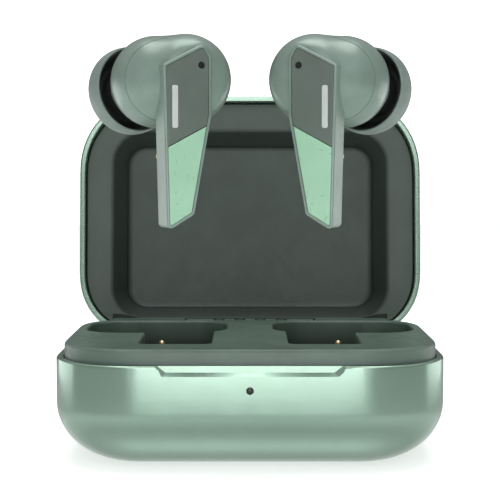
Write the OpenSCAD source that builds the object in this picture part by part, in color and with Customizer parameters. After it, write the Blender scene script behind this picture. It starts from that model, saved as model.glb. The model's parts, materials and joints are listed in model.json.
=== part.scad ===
// Wireless earbuds charging case: hinged lid, dark tray with four sprung
// charging pins, and two stem earbuds that swing between their upright display
// position in front of the lid and their wells in the tray.
// Millimetres, +Z up, front of the case towards -Y. The origin is the centre
// of the flat underside, on the table. The lid is drawn open, resting on its
// stop, and the earbuds are drawn upright.

/* [Case] */
// Width of the closed case
case_w = 65; // [64:0.5:68]
// Depth of the closed case, front to back
case_d = 46; // [45.5:0.5:48]
// Height of the base shell up to the parting line
rim_z = 17.5; // [17.3:0.1:18]
// Thickness of the painted outer shells
shell_t = 1.2; // [1:0.1:1.3]
// Angle that the open lid leans back past upright
lean = 6; // [2:1:8]

/* [Earbuds] */
// Depth of the stem behind its flat face
stem_d = 5.3; // [5:0.1:5.5]
// Largest radius of the silicone ear tip
tip_r = 6.9; // [6.2:0.1:6.9]
// Turn of each earbud's face towards the middle
toe_in = 22; // [20:1:23]

/* [Hinge] */
// Radius of the hinge knuckles
knuckle_r = 1.6; // [1.5:0.05:1.6]
// Radius of the hinge pin
hinge_pin_r = 0.6; // [0.5:0.05:0.65]

/* [Hidden] */
$fn = 48;
LEFT = 1;
RIGHT = -1;

// Outline of the case in plan: larger corners at the front
corner_front = 15;
corner_back = 12.5;
// The under-curve and the lid's crown
under_w = 12;
under_h = 10;
crown_w = 9.5;
crown_h = 7.5;
curve_steps = 9;

// Parting line, tray and lid levels
part_gap = 0.3;
lid_z = rim_z + part_gap;
lid_h = 10.2;
top_z = lid_z + lid_h;
tray_gap = 0.15;
tray_in = shell_t + tray_gap;
tray_z = rim_z + 2.5;
tray_plate = 1.5;
tray_wall = 0.9;
skirt_z = rim_z - 2;
ring_z = tray_z + part_gap;
recess_top = top_z - 2.9;
bottom_in = shell_t;

// Hinge: the axis runs along X near the back edge
hinge_y = case_d / 2 - 1.8;
hinge_z = rim_z + 0.9;
sweep_r = 3.2;
spine_r = sweep_r - part_gap;
spine_half = 26;
block_half = 12.1;
bar_pitch = 3.9;
bar_w = 2.1;
end_lug_in = 6.9;
lid_open = 90 + lean;

// Thumb notch and status light on the front
notch_w = 30;
notch_h = 1.35;
notch_in = 0.55;
light_z = 13.6;
light_r = 0.55;
light_gap = 0.05;
light_flange_t = 1.2;

// Charging socket in the back wall
usb_z = 7.1;
usb_w = 8.9;
usb_h = 3.2;
usb_len = 6.9;
usb_in = 1.3;
usb_wall = 0.3;
usb_gap = 0.2;

// Earbud: local X runs from the outer edge to the inner edge of the face,
// local Y runs back from the face, local Z runs up from the end of the stem
bud_place = [-12.7, -36, 39.4];
bud_h = 27.9;
face_w = 7.6;
face_outline = [
    [0.6, 0], [4.85, 2.5], [face_w, 17.4], [face_w, 25.8], [6.5, bud_h], [0, 24.6],
];
face_in = 0.45;
plate_t = 0.9;
plate_sink = 0.05;
split_outer = [0, 12.1];
split_inner = [face_w, 16.1];
split_gap = 0.06;
bud_wall = 0.8;
// The round head behind the face, and the sound axis through the ear tip
head_centre = [5.6, 6.05, 22.8];
head_r = 6.9;
head_front = 0.6;
tip_centre = [0, 16.2, 21.5];
sound_tilt = 97.5;
sound_turn = 104;
cup_mid = -7.7;
cup_r = 7;
nozzle_r = 2.6;
nozzle_end = 3.4;

// Each earbud turns between upright and seated about a slightly toed axis
swing_y = -31;
swing_z = 20.5;
swing_toe = 3.5;
seat_turn = -90;

// Charging contacts on the back of the stem, and the pins that meet them
contact_at = [[1.35, 11.2], [3.75, 11.2]];
contact_r = 0.75;
contact_t = 0.25;
pin_r = 0.5;
pin_free = 0.08;
pin_travel = 0.8;
barrel_r = 0.85;
pin_gap = 0.05;

// Wells in the tray for one earbud: [x low, x high, y low, y high, floor z, corner radius]
stem_well = [-18.4, -6.4, -14.4, 6.5, 16.4, 1.5];
head_well = [-26.5, -4.2, 1.6, 18.6, 9.1, 5.5];
tip_well = [-29.2, -13.6, 0.6, 18.6, 2.5, 6];
lid_recess = [-26.5, 26.5, -16.7, 20.1];
recess_slope = 3.3;
recess_r = 6.5;

// Inside the base
board_z = 4.6;
board_t = 0.8;
board_w = 42;
board_y = [-17.5, -3, 19.2];
tongue_w = 20;
screw_r = 0.7;
screw_low = 1.7;
screw_end = 1.8;
screw_gap = 0.03;
boss_r = 1.6;
screw_at = [[-19.2, -5.4], [19.2, -5.4], [-7.8, 15.6], [7.8, 15.6]];
// Chips as [x, y, width, depth, height]
chip_at = [[-4.5, 4, 4, 4, 0.8], [2.5, 3.5, 3, 3, 0.9], [5.6, 8, 1.6, 2, 0.5],
    [-1, 10, 2.2, 2.6, 0.7], [2.4, -0.2, 2, 1.2, 0.5]];
battery_box = [-17, 17, -17.5, -3.4, 0, 2.5];
battery_z = [6.1, 12.9];
hall_box = [3, 1.6, 1];
magnet_r = 1.4;
magnet_t = 2;
magnet_skin = 0.45;
cradle_magnet_r = 1.9;
cradle_magnet_t = 1.9;
cradle_at = [-8.4, 9];
latch_x = [-14, 14];
latch_y = -18.8;
lid_magnet_x = [-14, 0, 14];
barrel_h = 3.2;
barrel_floor = 0.3;
flex_t = 0.3;
flex_size = [4.4, 1.8];
pin_top = stem_well[4] + 0.5;
usb_tongue_w = 6.7;
usb_tongue_t = 0.7;
spring_x = [end_lug_in + part_gap, end_lug_in + 2.6];
spring_r = 1.15;
spring_gap = 0.1;
pin_fit = 0.03;

// Bumpers on the lid's ring
bumper_at = [-24, -17.2];
bumper_r = 0.9;
bumper_t = 0.2;

// Lid walls and hinge fingers
lid_wall = 1;
liner_t = 0.9;
finger_x = [-5.85, -1.95, 1.95, 5.85];
finger_w = 1.5;
finger_gap = 0.06;
liner_in = lid_wall + 0.15;
arm_front = 0.9;
finger_back = case_d / 2 - liner_in - part_gap - hinge_y + arm_front;
arm_h = sweep_r + 0.8;
bridge_low = knuckle_r + part_gap + 0.1;

// Microphone port and inlaid bar on each face plate
mic_at = [6.0, 0, 24.6];
mic_r = 0.5;
mic_t = 0.6;
plate_gap = 0.03;
accent_t = 0.38;
accent_x = [1.4, 2.35];
accent_z = [15.3, 21.6];
tip_back = -1.3;
tip_core_r = 3.3;
tip_core_back = -0.95;
tip_end = 5;

// Inside each earbud, on the sound axis or in the stem
driver_at = -5.2;
driver_r = 4.1;
driver_t = 2;
cell_at = -10.4;
cell_r = 4.2;
cell_t = 4.2;
bud_board_y = 2 * plate_t + 0.1;
bud_board_t = 0.5;
bud_magnet_at = [2.6, 2 * plate_t + 0.8, 5.2];
bud_magnet_r = 1.2;
bud_magnet_t = 1.6;

// ---------------------------------------------------------------- geometry

// A point turned about an axis through the origin
function turned(p, axis, angle) =
    p * cos(angle) + cross(axis, p) * sin(angle) + axis * (axis * p) * (1 - cos(angle));

// Mirror image of a point in the case's middle plane for the right earbud
function sided(p, side) = [side * p[0], p[1], p[2]];

function swing_axis(side) = [cos(swing_toe), side * sin(swing_toe), 0];

// Case position of a point given in the left earbud's own frame
function upright(p) = bud_place + [
    p[0] * cos(toe_in) - p[1] * sin(toe_in),
    p[0] * sin(toe_in) + p[1] * cos(toe_in),
    p[2],
];

// The same point with the earbud seated in the tray
function seated(p) =
    [0, swing_y, swing_z] + turned(upright(p) - [0, swing_y, swing_z], swing_axis(LEFT), seat_turn);

function pin_base(i, side) = sided(seated([contact_at[i][0], stem_d + contact_t, contact_at[i][1]]), side);

// Where two lines meet, each given by a point and a direction
function meet(p, u, q, v) = p + u * cross(q - p, v) / cross(u, v);

function left_of(u) = [-u[1], u[0]];

function unit(u) = u / norm(u);

// A convex outline moved inwards by d
function inset(pts, d) = [
    for (i = [0:len(pts) - 1])
        let (
            before = pts[(i + len(pts) - 1) % len(pts)],
            here = pts[i],
            after = pts[(i + 1) % len(pts)],
            u = unit(here - before),
            v = unit(after - here)
        ) meet(here + left_of(u) * d, u, here + left_of(v) * d, v)
];

// Wall profiles, as [distance in from the outline, height] from the bottom up
function under_profile(w, h, low, high) = [
    for (i = [0:curve_steps]) let (a = 90 * i / curve_steps) [w * (1 - sin(a)), low + h * (1 - cos(a))],
    [0, high],
];

function crown_profile(w, h, low, high) = [
    [0, low],
    for (i = [0:curve_steps]) let (a = 90 * i / curve_steps) [w * (1 - cos(a)), high - h * (1 - sin(a))],
];

function straight_profile(low, high) = [[0, low], [0, high]];

// Back half of a rounded tub, from y = 0 to y = d / 2
module half_tub(w, d, r, profile) {
    low = profile[0][1];
    high = profile[len(profile) - 1][1];
    rotate([90, 0, 90])
        linear_extrude(w - 2 * r, center = true)
            polygon([[0, low], for (p = profile) [d / 2 - p[0], p[1]], [0, high]]);
    for (side = [0, 1])
        mirror([side, 0, 0]) {
            translate([0, d / 2 - r, 0])
                rotate([90, 0, 0])
                    linear_extrude(d / 2 - r)
                        polygon([[w / 2 - r, low], for (p = profile) [w / 2 - p[0], p[1]], [w / 2 - r, high]]);
            translate([w / 2 - r, d / 2 - r, 0])
                rotate_extrude(angle = 90)
                    polygon([[0, low], for (p = profile) [r - p[0], p[1]], [0, high]]);
        }
}

// A tub with the case's own plan outline, moved inwards by d_in
module tub(d_in, profile) {
    w = case_w - 2 * d_in;
    d = case_d - 2 * d_in;
    half_tub(w, d, corner_back - d_in, profile);
    mirror([0, 1, 0]) half_tub(w, d, corner_front - d_in, profile);
}

// A block with rounded upright corners between two heights
module well_block(box, low, high, grow = 0) {
    r = box[5] + grow;
    x0 = box[0] - grow;
    x1 = box[1] + grow;
    y0 = box[2] - grow;
    y1 = box[3] + grow;
    for (x = [x0 + r, x1 - r], y = [y0 + r, y1 - r])
        translate([x, y, low]) cylinder(r = r, h = high - low);
    translate([x0 + r, y0, low]) cube([x1 - x0 - 2 * r, y1 - y0, high - low]);
    translate([x0, y0 + r, low]) cube([x1 - x0, y1 - y0 - 2 * r, high - low]);
}

module both_sides() {
    children();
    mirror([1, 0, 0]) children();
}

// A cylinder along X through the hinge axis
module hinge_rod(r, x0, x1) {
    translate([x0, hinge_y, hinge_z]) rotate([0, 90, 0]) cylinder(r = r, h = x1 - x0);
}

// The lid's own parts, swung from closed to the open rest position
module open_lid() {
    translate([0, hinge_y, hinge_z]) rotate([-lid_open, 0, 0]) translate([0, -hinge_y, -hinge_z])
        children();
}

// Rounded slot along Y, centred on the charging socket
module usb_slot(w, h, y0, y1) {
    r = h / 2;
    for (x = [-w / 2 + r, w / 2 - r])
        translate([x, y1, usb_z]) rotate([90, 0, 0]) cylinder(r = r, h = y1 - y0);
    translate([-w / 2 + r, y0, usb_z - r]) cube([w - 2 * r, y1 - y0, h]);
}

// ---------------------------------------------------------------- base

module base_shell() {
    color("#8fae98")
        difference() {
            union() {
                difference() {
                    tub(0, under_profile(under_w, under_h, 0, rim_z));
                    tub(shell_t, under_profile(under_w - shell_t, under_h - shell_t, bottom_in, rim_z + 1));
                }
                board_bosses();
            }
            for (p = screw_at)
                translate([p[0], p[1], screw_low]) cylinder(r = screw_r + screw_gap, h = board_z);
            // hinge window in the back wall
            translate([-spine_half - part_gap, hinge_y - sweep_r, hinge_z - knuckle_r - part_gap])
                cube([2 * (spine_half + part_gap), case_d, case_d]);
            // thumb notch
            translate([-notch_w / 2, -case_d / 2 - 1, rim_z - notch_h])
                cube([notch_w, 1 + notch_in, notch_h + 1]);
            // status light
            translate([0, -case_d / 2 + shell_t + 1, light_z]) rotate([90, 0, 0])
                cylinder(r = light_r + light_gap, h = 4 * shell_t);
            usb_slot(usb_w + 3 * usb_gap, usb_h + 3 * usb_gap, case_d / 2 - 3 * usb_in, case_d / 2 + 1);
        }
}

// Bosses that carry the main board, rooted inside the thickness of the shell
module board_bosses() {
    root = shell_t / 2;
    intersection() {
        for (p = screw_at)
            translate([p[0], p[1], 0]) cylinder(r = boss_r, h = board_z - screw_gap);
        tub(root, under_profile(under_w - root, under_h - root, root, rim_z));
    }
}

// One earbud's wells, grown by g for the walls around them
module wells(g = 0) {
    over = g > 0 ? tray_z : tray_z + 5;
    well_block(stem_well, stem_well[4] - g, over, g);
    well_block(head_well, head_well[4] - g, over, g);
    well_block(tip_well, tip_well[4] - (g > 0 ? bottom_in - 0.1 : 0), over, g);
}

// Everything inside the shell's wall, for trimming the well walls
module base_cavity() {
    inner = shell_t + 0.1;
    tub(inner, under_profile(under_w - inner, under_h - inner, bottom_in + 0.1, tray_z));
}

module deck_lugs() {
    for (x = [-block_half, end_lug_in])
        deck_lug(x, x + block_half - end_lug_in);
    for (i = [-1:1])
        deck_lug(i * bar_pitch - bar_w / 2, i * bar_pitch + bar_w / 2);
}

module deck_lug(x0, x1) {
    hinge_rod(knuckle_r, x0, x1);
    translate([x0, hinge_y - knuckle_r, skirt_z])
        cube([x1 - x0, case_d / 2 - tray_in - hinge_y + knuckle_r, hinge_z - skirt_z]);
}

module base_deck() {
    color("#52665c")
        difference() {
            union() {
                difference() {
                    tub(tray_in, straight_profile(skirt_z, tray_z));
                    tub(tray_in + tray_wall, straight_profile(skirt_z - 1, tray_z - tray_plate));
                }
                // rounded spine along the back, concentric with the hinge
                both_sides()
                    intersection() {
                        hinge_rod(spine_r, block_half, spine_half);
                        translate([0, hinge_y - spine_r, hinge_z - knuckle_r])
                            cube([case_w, case_d / 2 - 0.1 - hinge_y + spine_r, tray_z - hinge_z + knuckle_r]);
                        tub(0.1, straight_profile(0, tray_z));
                    }
                intersection() {
                    both_sides() wells(tray_wall);
                    base_cavity();
                }
            }
            both_sides() wells();
            // gap for the lid's hinge fingers
            translate([-block_half - part_gap, hinge_y - knuckle_r - part_gap, hinge_z - knuckle_r - part_gap])
                cube([2 * (block_half + part_gap), case_d, case_d]);
            for (i = [0, 1], side = [LEFT, RIGHT])
                translate([pin_base(i, side)[0], pin_base(i, side)[1], 0])
                    cylinder(r = barrel_r + pin_gap, h = case_d);
            // clearance over the charging socket
            usb_slot(usb_w + usb_gap, usb_h + usb_gap, case_d / 2 - usb_in - usb_len - usb_gap, case_d / 2);
        }
    color("#52665c")
        difference() {
            deck_lugs();
            hinge_rod(hinge_pin_r, -case_w, case_w);
            // counterbore for the torsion spring
            hinge_rod(spring_r + spring_gap, end_lug_in - 1, spring_x[1] + spring_gap);
        }
}

module led_lens() {
    color("#dfe8e2")
        translate([0, -case_d / 2 + shell_t, light_z])
            rotate([90, 0, 0]) {
                translate([0, 0, -light_flange_t - light_gap])
                    cylinder(r = 2 * light_r, h = light_flange_t);
                translate([0, 0, -2 * light_gap]) cylinder(r = light_r, h = shell_t);
            }
}

module main_pcb() {
    color("#1f5136")
        difference() {
            union() {
                translate([-board_w / 2, board_y[0], board_z])
                    cube([board_w, board_y[1] - board_y[0], board_t]);
                translate([-tongue_w / 2, board_y[1] - 1, board_z])
                    cube([tongue_w, board_y[2] - board_y[1] + 1, board_t]);
            }
            for (p = screw_at)
                translate([p[0], p[1], board_z - 1]) cylinder(r = screw_r + 0.1, h = board_t + 2);
        }
}

module pcb_chips() {
    color("#22262a")
        for (c = chip_at)
            translate([c[0] - c[2] / 2, c[1] - c[3] / 2, board_z + board_t]) cube([c[2], c[3], c[4]]);
}

module battery() {
    color("#b9bec4") well_block(battery_box, battery_z[0], battery_z[1]);
}

module battery_pad() {
    color("#3a3d40") well_block(battery_box, board_z + board_t, battery_z[0], -1);
}

module usb_c_port() {
    y1 = case_d / 2 - usb_in;
    y0 = y1 - usb_len;
    color("#c9ccd0")
        difference() {
            usb_slot(usb_w, usb_h, y0, y1);
            usb_slot(usb_w - 2 * usb_wall, usb_h - 2 * usb_wall, y0 + 1, y1 + 1);
        }
}

module usb_c_tongue() {
    color("#1b1b1d")
        translate([-usb_tongue_w / 2, case_d / 2 - usb_in - usb_len + 1, usb_z - usb_tongue_t / 2])
            cube([usb_tongue_w, usb_len - 2, usb_tongue_t]);
}

module hall_sensor() {
    color("#22262a")
        translate([-hall_box[0] / 2, latch_y, tray_z - tray_plate - hall_box[2]]) cube(hall_box);
}

module base_screws() {
    color("#9aa0a6")
        for (p = screw_at)
            translate([p[0], p[1], 0]) {
                translate([0, 0, screw_end]) cylinder(r = screw_r, h = board_z + board_t - screw_end);
                translate([0, 0, board_z + board_t]) cylinder(r = 2 * screw_r, h = screw_r);
            }
}

module latch_magnets() {
    color("#8d9298")
        for (x = latch_x)
            translate([x, latch_y, tray_z - tray_plate - magnet_t]) cylinder(r = magnet_r, h = magnet_t);
}

module cradle_magnets() {
    color("#8d9298")
        both_sides()
            translate([cradle_at[0], cradle_at[1], head_well[4] - tray_wall - cradle_magnet_t])
                cylinder(r = cradle_magnet_r, h = cradle_magnet_t);
}

module pin_barrels() {
    color("#b8975a")
        for (i = [0, 1], side = [LEFT, RIGHT])
            translate([pin_base(i, side)[0], pin_base(i, side)[1], pin_top - barrel_h])
                difference() {
                    cylinder(r = barrel_r, h = barrel_h);
                    translate([0, 0, barrel_floor]) cylinder(r = pin_r + pin_gap, h = barrel_h);
                }
}

// Flexible strips under each side's pair of pin barrels
module pin_flex() {
    low = pin_top - barrel_h - flex_t;
    mid = (pin_base(0, LEFT) + pin_base(1, LEFT)) / 2;
    color("#c98a3a")
        both_sides() translate([mid[0] - flex_size[0] / 2, mid[1] - flex_size[1] / 2, low])
            cube([flex_size[0], flex_size[1], flex_t]);
}

// Sprung charging pin under contact i of one earbud
module charge_pin(i, side) {
    base = pin_base(i, side);
    low = pin_top - barrel_h + barrel_floor + pin_travel + pin_free;
    tip = base[2] - pin_free - pin_r;
    color("#d9b36a")
        translate([base[0], base[1], low]) {
            cylinder(r = pin_r, h = tip - low);
            translate([0, 0, tip - low]) sphere(r = pin_r);
        }
}

module hinge_pin() {
    color("#c9ccd0") hinge_rod(hinge_pin_r - pin_fit, -block_half + part_gap, block_half - part_gap);
}

// Torsion spring drawn as its winding envelope, in its counterbore in the end lug
module hinge_spring() {
    color("#9aa0a6")
        difference() {
            hinge_rod(spring_r, spring_x[0], spring_x[1]);
            hinge_rod(hinge_pin_r + spring_gap, -case_w, case_w);
        }
}

// ---------------------------------------------------------------- lid

module lid_hinge_cut(grow = 0) {
    hinge_rod(sweep_r + grow, -spine_half - part_gap, spine_half + part_gap);
    // clearance below the cut, where the wall would pass behind the hinge
    translate([-spine_half - part_gap, hinge_y - 1, 0])
        cube([2 * (spine_half + part_gap), case_d, hinge_z]);
}

module lid_shell() {
    color("#8fae98")
        open_lid()
            difference() {
                tub(0, crown_profile(crown_w, crown_h, lid_z, top_z));
                tub(lid_wall,
                    crown_profile(crown_w - lid_wall, crown_h - lid_wall, lid_z - 1, top_z - lid_wall));
                lid_hinge_cut();
            }
}

// The sloping pocket that the seated earbuds reach up into
module recess(grow = 0) {
    steps = recess_top - ring_z;
    r = recess_r + grow;
    x1 = lid_recess[1] + grow;
    y0 = lid_recess[2] - grow;
    y1 = lid_recess[3] + grow;
    r_top = r - recess_slope;
    for (x = [-x1 + r, x1 - r], y = [y0 + r, y1 - r])
        translate([x, y, ring_z]) cylinder(r1 = r, r2 = r_top, h = steps + grow);
    rotate([90, 0, 90])
        linear_extrude(2 * (x1 - r), center = true)
            polygon([
                [y0, ring_z], [y1, ring_z],
                [y1 - recess_slope, recess_top + grow], [y0 + recess_slope, recess_top + grow],
            ]);
    translate([0, y1 - r, 0])
        rotate([90, 0, 0])
            linear_extrude(y1 - y0 - 2 * r)
                polygon([
                    [-x1, ring_z], [x1, ring_z],
                    [x1 - recess_slope, recess_top + grow], [-x1 + recess_slope, recess_top + grow],
                ]);
}

module lid_liner() {
    color("#46524b")
        open_lid() {
            difference() {
                union() {
                    tub(liner_in, straight_profile(ring_z, ring_z + liner_t));
                    intersection() {
                        recess(liner_t);
                        translate([-case_w, -case_d, ring_z]) cube(2 * case_w);
                    }
                }
                recess();
                lid_hinge_cut();
                for (x = lid_magnet_x)
                    translate([x, latch_y, ring_z + magnet_skin])
                        cylinder(r = magnet_r + 0.05, h = magnet_t + 2);
            }
            difference() {
                lid_fingers();
                hinge_rod(hinge_pin_r + finger_gap, -case_w, case_w);
            }
        }
}

// Hinge fingers between the tray's knuckles, with the bar that joins them
module lid_fingers() {
    for (x = finger_x)
        translate([x - finger_w / 2, 0, 0]) {
            hinge_rod(knuckle_r, 0, finger_w);
            translate([0, hinge_y - arm_front, hinge_z])
                cube([finger_w, finger_back, arm_h]);
        }
    translate([-block_half, hinge_y - arm_front, hinge_z + bridge_low])
        cube([2 * block_half, finger_back, arm_h - bridge_low]);
}

module lid_magnets() {
    color("#8d9298")
        open_lid()
            for (x = lid_magnet_x)
                translate([x, latch_y, ring_z + magnet_skin + 0.05]) cylinder(r = magnet_r, h = magnet_t);
}

module lid_bumpers() {
    color("#2c322f")
        open_lid()
            both_sides()
                translate([bumper_at[0], bumper_at[1], ring_z - bumper_t])
                    cylinder(r = bumper_r, h = bumper_t);
}

// ---------------------------------------------------------------- earbuds

// Puts an earbud's own frame in its upright place on one side
module bud(side) {
    mirror([side == LEFT ? 0 : 1, 0, 0]) translate(bud_place) rotate([0, 0, toe_in]) children();
}

// A flat outline in the face's plane, between two depths behind it
module slab(pts, y0, y1) {
    translate([0, y1, 0]) rotate([90, 0, 0]) linear_extrude(y1 - y0) polygon(pts);
}

module on_sound_axis() {
    translate(tip_centre) rotate([0, sound_tilt, sound_turn]) children();
}

// A ball in narrow bands, turned about its Z axis
module ball(r) {
    rotate_extrude()
        polygon([
            for (i = [0:2 * curve_steps]) let (a = 90 * i / curve_steps - 90) [r * cos(a), r * sin(a)],
        ]);
}

// The round head: a ball behind the face and a second one on the sound axis
module head_body(shrink = 0) {
    translate(head_centre) rotate([-90, 0, 0]) ball(head_r - shrink);
    on_sound_axis() translate([0, 0, cup_mid]) ball(cup_r - shrink);
}

module behind(y0, y1) {
    translate([-case_w, y0, -case_w]) cube([2 * case_w, y1 - y0, 3 * case_w]);
}

module front_shell(side) {
    color("#6f8f7e")
        bud(side)
            difference() {
                union() {
                    slab(face_outline, 0, stem_d);
                    intersection() {
                        head_body();
                        behind(head_front, stem_d);
                    }
                }
                slab(inset(face_outline, face_in), -1, plate_t + plate_gap);
                slab(inset(face_outline, bud_wall), 2 * plate_t, stem_d - bud_wall);
                intersection() {
                    head_body(bud_wall);
                    behind(2 * plate_t, stem_d + 1);
                }
                for (c = contact_at)
                    translate([c[0], stem_d - 2 * bud_wall, c[1]]) rotate([-90, 0, 0])
                        cylinder(r = contact_r, h = 3);
            }
}

module rear_housing(side) {
    color("#6d7f76")
        bud(side)
            difference() {
                union() {
                    intersection() {
                        head_body();
                        behind(stem_d + 0.02, case_d);
                    }
                    on_sound_axis() {
                        translate([0, 0, -2]) cylinder(r = nozzle_r, h = nozzle_end + 2);
                        translate([0, 0, nozzle_end - 0.7]) cylinder(r = nozzle_r + 0.3, h = 0.5);
                    }
                }
                intersection() {
                    head_body(bud_wall);
                    behind(stem_d - 1, case_d);
                }
                on_sound_axis() translate([0, 0, -3]) cylinder(r = nozzle_r - 0.6, h = nozzle_end + 4);
            }
}

// The part of the face above (or below) the slanted split, clear of it by the split gap
module face_part(upper) {
    rise = upper ? split_gap : -split_gap;
    far = upper ? 2 * bud_h : -bud_h;
    run = (split_inner - split_outer) / face_w;
    a = split_outer - run * face_w + [0, rise];
    b = split_inner + run * face_w + [0, rise];
    edge = [a, b, [b[0], far], [a[0], far]];
    intersection() {
        slab(inset(face_outline, face_in + plate_gap), plate_sink, plate_t);
        slab(upper ? edge : [for (i = [3:-1:0]) edge[i]], -1, plate_t + 1);
    }
}

module face_plate(side) {
    color("#66726b")
        bud(side)
            difference() {
                face_part(true);
                translate(mic_at) rotate([90, 0, 0])
                    cylinder(r = mic_r + plate_gap, h = 3 * plate_t, center = true);
                slab(accent_outline(plate_gap), -1, accent_t + plate_gap);
            }
}

module lower_panel(side) {
    color("#9cc6aa") bud(side) face_part(false);
}

function accent_outline(g) = [
    [accent_x[0] - g, accent_z[0] - g], [accent_x[1] + g, accent_z[0] - g],
    [accent_x[1] + g, accent_z[1] + g], [accent_x[0] - g, accent_z[1] + g],
];

module accent_bar(side) {
    color("#c8cecb") bud(side) slab(accent_outline(0), 0, accent_t);
}

module mic_mesh(side) {
    color("#2b2f2d")
        bud(side) translate([mic_at[0], plate_t - 0.05, mic_at[2]]) rotate([90, 0, 0])
            cylinder(r = mic_r, h = mic_t);
}

module ear_tip(side) {
    color("#7b8783")
        bud(side)
            on_sound_axis()
                rotate_extrude()
                    polygon([
                        [nozzle_r + 0.12, tip_core_back], [tip_core_r, tip_core_back], [tip_core_r, 2.2],
                        [tip_core_r + 0.9, 2.9], [tip_r - 1.5, 2.1],
                        [tip_r - 0.75, 0.6], [tip_r - 0.6, tip_back],
                        [tip_r - 0.2, tip_back - 0.1], [tip_r, 0], [tip_r - 0.15, 1.2], [tip_r - 0.8, 2.6],
                        [tip_r - 1.9, 3.9], [tip_r - 3, 4.7],
                        [tip_r - 4, tip_end], [nozzle_r - 0.7, tip_end],
                        [nozzle_r - 0.7, nozzle_end + 0.3], [nozzle_r + 0.42, nozzle_end + 0.1],
                        [nozzle_r + 0.42, nozzle_end - 0.9], [nozzle_r + 0.12, nozzle_end - 0.9],
                    ]);
}

module nozzle_mesh(side) {
    color("#2b2f2d")
        bud(side) on_sound_axis() translate([0, 0, nozzle_end - 0.5])
            cylinder(r = nozzle_r - 0.62, h = 0.3);
}

module driver(side) {
    color("#9aa0a6") bud(side) on_sound_axis() translate([0, 0, driver_at])
        cylinder(r = driver_r, h = driver_t);
}

module cell(side) {
    color("#b9bec4") bud(side) on_sound_axis() translate([0, 0, cell_at]) cylinder(r = cell_r, h = cell_t);
}

module board(side) {
    color("#1f5136") bud(side)
        slab(inset(face_outline, bud_wall + 0.15), bud_board_y, bud_board_y + bud_board_t);
}

module contacts(side) {
    color("#d9b36a")
        bud(side)
            for (c = contact_at)
                translate([c[0], stem_d - bud_wall, c[1]])
                    rotate([-90, 0, 0]) cylinder(r = contact_r - 0.05, h = bud_wall + contact_t);
}

module magnet(side) {
    color("#8d9298")
        bud(side)
            translate(bud_magnet_at) rotate([-90, 0, 0]) cylinder(r = bud_magnet_r, h = bud_magnet_t);
}

base_shell();
base_deck();
led_lens();
main_pcb();
pcb_chips();
battery();
battery_pad();
usb_c_port();
usb_c_tongue();
hall_sensor();
base_screws();
latch_magnets();
cradle_magnets();
pin_barrels();
pin_flex();
hinge_pin();
hinge_spring();
charge_pin(0, LEFT);  // pin_left_outer
charge_pin(1, LEFT);  // pin_left_inner
charge_pin(1, RIGHT);  // pin_right_inner
charge_pin(0, RIGHT);  // pin_right_outer
lid_shell();
lid_liner();
lid_magnets();
lid_bumpers();
front_shell(LEFT);  // bud_left_front_shell
rear_housing(LEFT);  // bud_left_rear_housing
face_plate(LEFT);  // bud_left_face_plate
lower_panel(LEFT);  // bud_left_lower_panel
accent_bar(LEFT);  // bud_left_accent_bar
mic_mesh(LEFT);  // bud_left_mic_mesh
ear_tip(LEFT);  // bud_left_ear_tip
nozzle_mesh(LEFT);  // bud_left_nozzle_mesh
driver(LEFT);  // bud_left_driver
cell(LEFT);  // bud_left_cell
board(LEFT);  // bud_left_board
contacts(LEFT);  // bud_left_contacts
magnet(LEFT);  // bud_left_magnet
front_shell(RIGHT);  // bud_right_front_shell
rear_housing(RIGHT);  // bud_right_rear_housing
face_plate(RIGHT);  // bud_right_face_plate
lower_panel(RIGHT);  // bud_right_lower_panel
accent_bar(RIGHT);  // bud_right_accent_bar
mic_mesh(RIGHT);  // bud_right_mic_mesh
ear_tip(RIGHT);  // bud_right_ear_tip
nozzle_mesh(RIGHT);  // bud_right_nozzle_mesh
driver(RIGHT);  // bud_right_driver
cell(RIGHT);  // bud_right_cell
board(RIGHT);  // bud_right_board
contacts(RIGHT);  // bud_right_contacts
magnet(RIGHT);  // bud_right_magnet
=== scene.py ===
import json
import math

import bmesh
import bpy
import numpy as np
from mathutils import Matrix, Vector


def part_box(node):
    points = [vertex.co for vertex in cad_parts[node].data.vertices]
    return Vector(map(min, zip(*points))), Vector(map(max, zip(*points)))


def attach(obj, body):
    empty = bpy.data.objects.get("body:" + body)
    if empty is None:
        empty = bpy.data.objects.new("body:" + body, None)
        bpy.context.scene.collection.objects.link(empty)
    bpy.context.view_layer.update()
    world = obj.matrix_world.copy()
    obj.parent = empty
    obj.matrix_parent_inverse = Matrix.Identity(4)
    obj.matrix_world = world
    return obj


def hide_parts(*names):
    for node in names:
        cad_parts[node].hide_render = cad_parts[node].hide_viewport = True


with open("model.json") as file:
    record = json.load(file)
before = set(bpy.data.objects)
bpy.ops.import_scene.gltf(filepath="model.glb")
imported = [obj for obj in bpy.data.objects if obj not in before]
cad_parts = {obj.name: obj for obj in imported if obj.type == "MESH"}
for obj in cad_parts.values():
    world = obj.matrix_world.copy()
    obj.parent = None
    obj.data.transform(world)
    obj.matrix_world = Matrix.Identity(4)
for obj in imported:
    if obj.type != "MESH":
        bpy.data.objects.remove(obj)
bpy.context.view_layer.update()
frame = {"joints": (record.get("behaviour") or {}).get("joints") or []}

for leftover in ("Cube", "Light", "Camera"):
    if leftover in bpy.data.objects:
        bpy.data.objects.remove(bpy.data.objects[leftover])

# ------------------------------------------------------------------ the frame, in millimetres

MM = 0.001


def box_mm(node):
    low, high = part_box(node)
    return Vector(low) / MM, Vector(high) / MM


def joint(name):
    return next(j for j in frame["joints"] if j["name"] == name)


_, SHELL_HIGH = box_mm("base_shell")
_, DECK_HIGH = box_mm("base_deck")
BUD_LOW, _ = box_mm("bud_left_front_shell")
HALF_W = SHELL_HIGH.x
HALF_D = SHELL_HIGH.y
RIM_Z = SHELL_HIGH.z
TRAY_Z = DECK_HIGH.z
TRAY_IN = HALF_W - DECK_HIGH.x

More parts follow.
